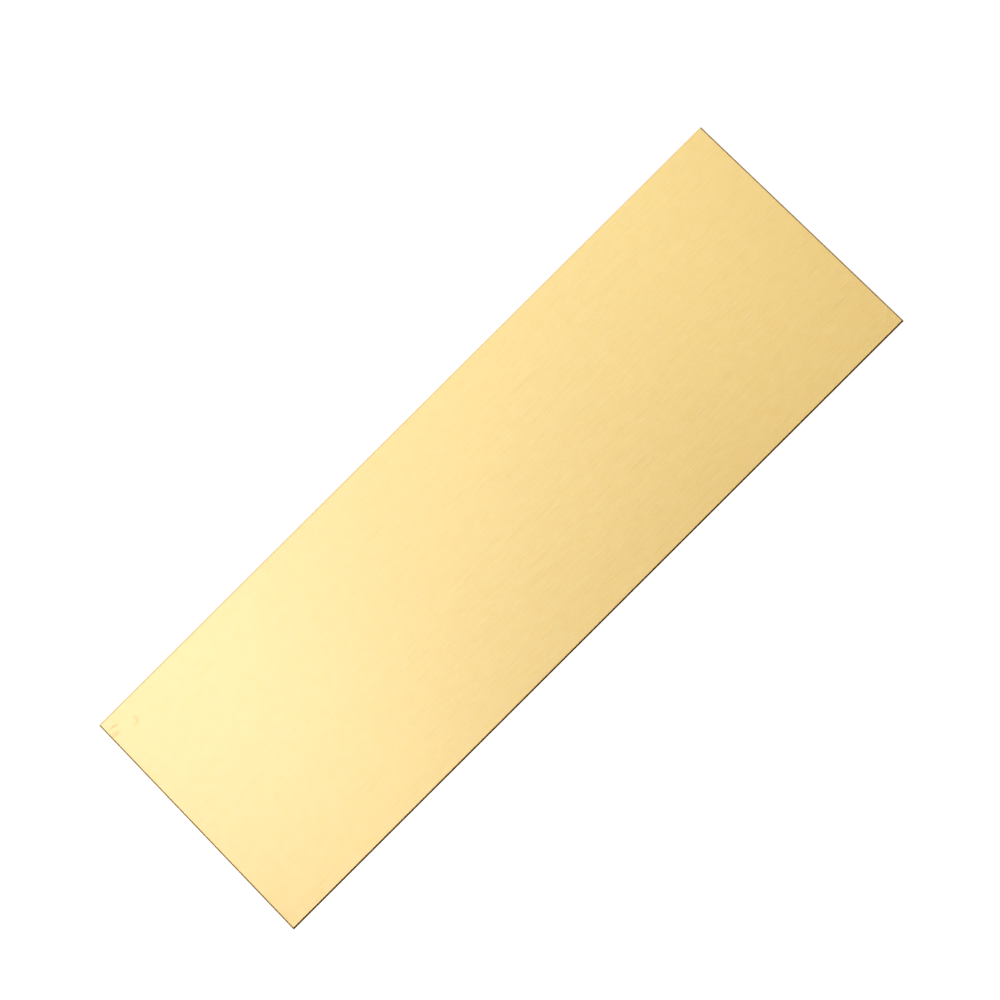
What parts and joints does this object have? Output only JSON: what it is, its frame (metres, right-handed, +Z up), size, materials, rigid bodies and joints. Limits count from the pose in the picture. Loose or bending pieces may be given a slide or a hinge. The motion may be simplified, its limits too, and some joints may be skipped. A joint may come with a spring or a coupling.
{
  "type": "kick plate",
  "caption": "Flat rectangular door kick plate with bevelled front edges, held by foam tape strips under release liners with pull tabs.",
  "frame": {"origin": "centre of the plane that meets the door, which is the outer face of the middle strip's release liner", "axes": "+X along the plate's length, +Z up the door, +Y from the plate's back into the door; the brass face looks along -Y"},
  "size_m": [0.6096, 0.0028, 0.2032],
  "materials": {
    "brass_sheet": "satin",
    "foam_tape": "matte",
    "release_film": "gloss"
  },
  "bodies": {
    "plate": {"face_plate": "brass_sheet", "tape_top": "foam_tape", "tape_bottom": "foam_tape", "tape_left": "foam_tape", "tape_right": "foam_tape", "tape_middle": "foam_tape"},
    "top_liner": {"liner_top": "release_film"},
    "bottom_liner": {"liner_bottom": "release_film"},
    "left_liner": {"liner_left": "release_film"},
    "right_liner": {"liner_right": "release_film"},
    "middle_liner": {"liner_middle": "release_film"}
  },
  "joints": [
    {"name": "top_liner_peel", "type": "slide", "parent": "plate", "child": "top_liner", "axis": [0, 1, 0], "range_m": [0, 0.05]},
    {"name": "bottom_liner_peel", "type": "slide", "parent": "plate", "child": "bottom_liner", "axis": [0, 1, 0], "range_m": [0, 0.05]},
    {"name": "left_liner_peel", "type": "slide", "parent": "plate", "child": "left_liner", "axis": [0, 1, 0], "range_m": [0, 0.05]},
    {"name": "right_liner_peel", "type": "slide", "parent": "plate", "child": "right_liner", "axis": [0, 1, 0], "range_m": [0, 0.05]},
    {"name": "middle_liner_peel", "type": "slide", "parent": "plate", "child": "middle_liner", "axis": [0, 1, 0], "range_m": [0, 0.05]}
  ]
}
